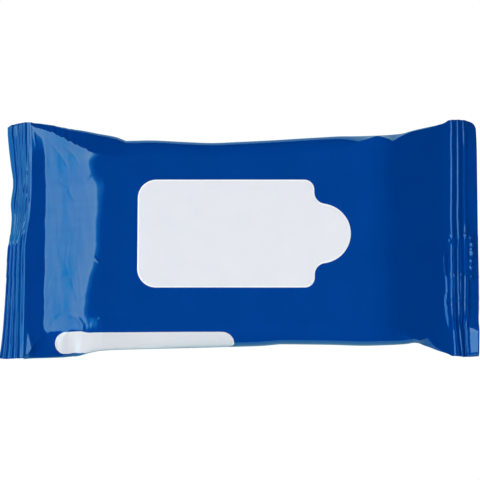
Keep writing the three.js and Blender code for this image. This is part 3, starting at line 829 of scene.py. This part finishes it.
def build_label():
    thick, soft = 0.16, 0.07
    outer, inner = label_outline(0.0), label_outline(-0.12)
    k = len(outer)
    if len(inner) != k:
        raise ValueError("label outlines differ")
    gx, gy = np.meshgrid(np.arange(-31, 34.5, 1.1), np.arange(-16.6, 17, 1.1))
    grid = [(a, b) for a, b in zip(gx.ravel(), gy.ravel())]
    poly = np.array(inner)

    def inside(p):
        x, y = p
        xa, ya = poly[:, 0], poly[:, 1]
        xb, yb_ = np.roll(xa, -1), np.roll(ya, -1)
        hit = ((ya > y) != (yb_ > y)) & (x < (xb - xa) * (y - ya) / (yb_ - ya + 1e-12) + xa)
        if hit.sum() % 2 == 0:
            return False
        return np.hypot(xa - x, ya - y).min() > 0.95

    pale = label_outline(-0.55)
    q = len(pale)
    pts = inner + pale + [p for p in grid if inside(p)]
    rings = [(i, (i + 1) % k) for i in range(k)] + [(k + i, k + (i + 1) % q) for i in range(q)]
    res = delaunay_2d_cdt([Vector(p) for p in pts], rings, [], 1, 1e-5)
    flat, tris = [(v.x, v.y) for v in res[0]], [tuple(f) for f in res[2]]
    nv = len(flat)
    ring_of = {}
    for a, (x, y) in enumerate(flat):
        ring_of[a] = (x, y)
    base = TOP_Z + 0.02
    verts = [(x, y, base + thick) for x, y in flat]
    # rim: top inner edge, rounded shoulder, foot
    idx_inner = []
    arr = np.array(flat)
    for p in inner:
        idx_inner.append(int(np.argmin(np.hypot(arr[:, 0] - p[0], arr[:, 1] - p[1]))))
    mid = len(verts)
    rim = label_outline(-0.035)
    verts += [(x, y, base + thick - 0.035) for x, y in rim]
    low = len(verts)
    verts += [(x, y, base + thick - soft - 0.03) for x, y in outer]
    foot = len(verts)
    verts += [(x, y, base) for x, y in outer]
    under = len(verts)
    verts += [(x, y, base) for x, y in flat]
    f = [t for t in tris]
    for i in range(k):
        j = (i + 1) % k
        f.append((idx_inner[i], mid + i, mid + j, idx_inner[j]))
        f.append((mid + i, low + i, low + j, mid + j))
        f.append((low + i, foot + i, foot + j, low + j))
        f.append((foot + i, under + idx_inner[i], under + idx_inner[j], foot + j))
    f += [tuple(under + t for t in tri[::-1]) for tri in tris]
    ob = new_object("reseal_label_film", place(verts), f, label_material())
    # a lighter white is painted along the cut edge and over the rounded rim: a painted highlight where the edge
    # catches the light
    edge_glint = np.ones(len(verts), np.float32)
    for a, (x, y) in enumerate(flat):
        edge_glint[a] = 1.0 if np.hypot(poly[:, 0] - x, poly[:, 1] - y).min() < 0.05 else 0.0
    ob.data.attributes.new("painted_edge_glint", "FLOAT", "POINT").data.foreach_set("value", edge_glint)
    b = bmesh.new()
    b.from_mesh(ob.data)
    bmesh.ops.recalc_face_normals(b, faces=b.faces)
    if b.calc_volume(signed=True) < 0:
        bmesh.ops.reverse_faces(b, faces=b.faces)
    b.to_mesh(ob.data)
    b.free()
    return ob


label = build_label()
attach(label, "root")
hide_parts("reseal_label")


# ----------------------------------------------------------------------- stage
def emissive(name, colour, strength):
    mat = bpy.data.materials.new(name)
    mat.use_nodes = True
    nt = mat.node_tree
    nt.nodes.clear()
    e = nt.nodes.new("ShaderNodeEmission")
    e.inputs["Color"].default_value = (*colour, 1)
    e.inputs["Strength"].default_value = strength
    o = nt.nodes.new("ShaderNodeOutputMaterial")
    nt.links.new(e.outputs["Emission"], o.inputs["Surface"])
    return mat


def sheet(name, half, z, mat):
    ob = new_object(name, [(-half, -half, z), (half, -half, z), (half, half, z), (-half, half, z)], [(0, 1, 2, 3)], mat, smooth=False)
    return ob


def glowing(name, verts, faces, colours):
    """A stage piece that shines with a colour given at each point."""
    mat = emissive(name + "_glow", (1, 1, 1), 1.0)
    at = mat.node_tree.nodes.new("ShaderNodeAttribute")
    at.attribute_name = "glow"
    mat.node_tree.links.new(at.outputs["Color"], mat.node_tree.nodes["Emission"].inputs["Color"])
    ob = new_object(name, verts, faces, mat, smooth=False)
    rgba = np.concatenate([np.array(colours, float), np.ones((len(verts), 1))], axis=1)
    ob.data.attributes.new("glow", "FLOAT_COLOR", "POINT").data.foreach_set("color", rgba.reshape(-1).astype(np.float32))
    return ob


def grid_faces(rows, cols):
    return [(r * cols + c, r * cols + c + 1, (r + 1) * cols + c + 1, (r + 1) * cols + c)
            for r in range(rows - 1) for c in range(cols - 1)]


# The floor is seen as even white; what the film mirrors of it is duller close
# to the pack, where the pack keeps the light off.
floor = sheet("floor", 3, -0.0003, emissive("floor_white", (1, 1, 1), 1.02))
floor.visible_glossy = floor.visible_diffuse = False


def bounce_sheet():
    far = np.array([0.2, 0.25, 0.32, 0.45, 0.7, 1.2, 3.0])
    line = np.concatenate([-far[::-1], np.linspace(-0.18, 0.18, 91), far])
    gx, gy = np.meshgrid(line, line, indexing="ij")
    away = np.hypot(np.clip(np.abs(gx) - 0.068, 0, None), np.clip(np.abs(gy) - 0.033, 0, None))
    light = 0.30 + 1.60 * (1 - np.exp(-away / 0.018))
    # the pack's own shade lies to the right of it
    past = np.clip(gx - 0.064, 0, None)
    light = light * (1 - 0.88 * np.clip(past / 0.02, 0, 1) * np.clip((0.07 + 0.5 * past - np.abs(gy)) / 0.03, 0, 1))
    verts = [(x, y, -0.0005) for x, y in zip(gx.ravel(), gy.ravel())]
    tint = np.array([0.42, 0.80, 1.08])
    colour = light.ravel()[:, None] * tint
    # and the left of it takes the colour of the film's own shine
    colour[:, 0] *= 1 - 0.75 * np.clip((-gx.ravel() - 0.06) / 0.015, 0, 1) * (np.abs(gy.ravel()) < 0.06)
    # the strip in front of it is duller
    before = np.clip((-gy.ravel() - 0.03) / 0.012, 0, 1)[:, None] * (np.abs(gx.ravel()) < 0.066)[:, None]
    colour = colour * (1 - before * np.array([0.30, 0.08, 0.28]))
    ob = glowing("floor_bounce", verts, grid_faces(len(line), len(line)), colour)
    ob.visible_camera = ob.visible_diffuse = False
    return ob


bounce_sheet()
fill = sheet("floor_fill", 3, -0.0006, emissive("floor_fill", (1, 1, 1), 0.50))
fill.visible_camera = fill.visible_glossy = False


def softbox(name, az, el, dist, w, h, glow):
    """A glowing panel facing the pack; glow(u, v) gives its colour across and up."""
    a, e = math.radians(az), math.radians(el)
    d = Vector((math.cos(e) * math.cos(a), math.cos(e) * math.sin(a), math.sin(e)))
    across = Vector((-math.sin(a), math.cos(a), 0))
    up_ = d.cross(across)
    if up_.z < 0:
        up_ = -up_
    rows, cols = 61, 25
    verts, colours = [], []
    for r in range(rows):
        for c in range(cols):
            u, v = c / (cols - 1), r / (rows - 1)
            verts.append(tuple(d * dist + across * ((u - 0.5) * w) + up_ * ((v - 0.5) * h)))
            colours.append(glow(u, v))
    ob = glowing(name, verts, grid_faces(rows, cols), colours)
    ob.visible_camera = False
    return ob


def left_glow(u, v):
    # brightest under its upper edge, cooler lower down, with a cool fringe on top
    tone = [curve(rows)(v) for rows in (
        [(0, 0.35), (0.15, 0.45), (0.21, 1.0), (0.28, 1.85), (0.36, 2.75), (0.44, 3.3), (0.52, 3.8), (0.60, 4.3), (0.68, 4.7), (0.74, 3.6), (0.80, 0.25), (1, 0.0)],
        [(0, 2.1), (0.15, 2.5), (0.21, 2.9), (0.28, 3.2), (0.36, 3.4), (0.44, 3.6), (0.52, 3.8), (0.60, 4.0), (0.68, 4.2), (0.74, 3.6), (0.80, 1.7), (0.9, 0.6), (1, 0.0)],
        [(0, 3.6), (0.15, 4.0), (0.28, 4.3), (0.38, 4.4), (0.55, 4.6), (0.68, 4.8), (0.74, 4.3), (0.80, 2.9), (0.9, 1.1), (1, 0.0)])]
    lean = [max(0.3, 1 - k * (u - 0.69)) for k in (1.1, 0.45, 0.2)]
    return [float(q) * k for q, k in zip(tone, lean)]


# left softbox: the broad light seen in the left shoulder, with a dimmer low card by the left seal
broad = softbox("softbox_left", 167, 45.5, 0.9, 1.10, 0.88, left_glow)
broad.visible_diffuse = False
low = glowing("card_left", [(-0.145, -0.11, 0.001), (-0.145, 0.11, 0.001), (-0.145, 0.11, 0.032), (-0.145, -0.11, 0.032)], [(0, 1, 2, 3)], [(0.25, 1.6, 2.1)] * 4)
low.visible_camera = low.visible_diffuse = low.visible_shadow = False


def shading_sun(name, az, el, energy, spread):
    """A broad light that only shades; the film mirrors the panels, not this."""
    a, e = math.radians(az), math.radians(el)
    data = bpy.data.lights.new(name, "SUN")
    data.energy, data.angle = energy, math.radians(spread)
    ob = bpy.data.objects.new(name, data)
    ob.rotation_euler = Vector((-math.cos(e) * math.cos(a), -math.cos(e) * math.sin(a), -math.sin(e))).to_track_quat("-Z", "Y").to_euler()
    ob.visible_glossy = False
    bpy.context.scene.collection.objects.link(ob)


shading_sun("overhead", 180, 77, 2.00, 50)
shading_sun("from_left", 182, 40, 1.82, 60)
shading_sun("from_front", 262, 28, 1.05, 60)
shading_sun("from_back", 98, 25, 0.55, 60)

world = bpy.data.worlds.new("studio")
bpy.context.scene.world = world
world.use_nodes = True
bg = world.node_tree.nodes["Background"]
bg.inputs["Color"].default_value = (0.9, 0.95, 1.0, 1)
bg.inputs["Strength"].default_value = 0.012

# ---------------------------------------------------------------------- camera
EL = math.radians(80)
DIST = 630.0
fw = Vector((0, math.cos(EL), -math.sin(EL)))
up = Vector((0, math.sin(EL), math.cos(EL)))
rt = Vector((1, 0, 0))
eye = Vector((0.3 + OX, OY, 5.0)) - fw * DIST
cam = bpy.data.objects.new("camera", bpy.data.cameras.new("camera"))
cam.data.sensor_fit = "HORIZONTAL"
cam.data.sensor_width = 36.0
cam.data.lens = 36.0 * (DIST / 0.3138) / 480.0
cam.data.clip_start, cam.data.clip_end = 0.01, 20
cam.matrix_world = Matrix((
    (rt.x, up.x, -fw.x, eye.x * MM), (rt.y, up.y, -fw.y, eye.y * MM), (rt.z, up.z, -fw.z, eye.z * MM), (0, 0, 0, 1)))
bpy.context.scene.collection.objects.link(cam)
bpy.context.scene.camera = cam
bpy.context.scene.view_settings.view_transform = "Standard"
bpy.context.scene.view_settings.look = "None"
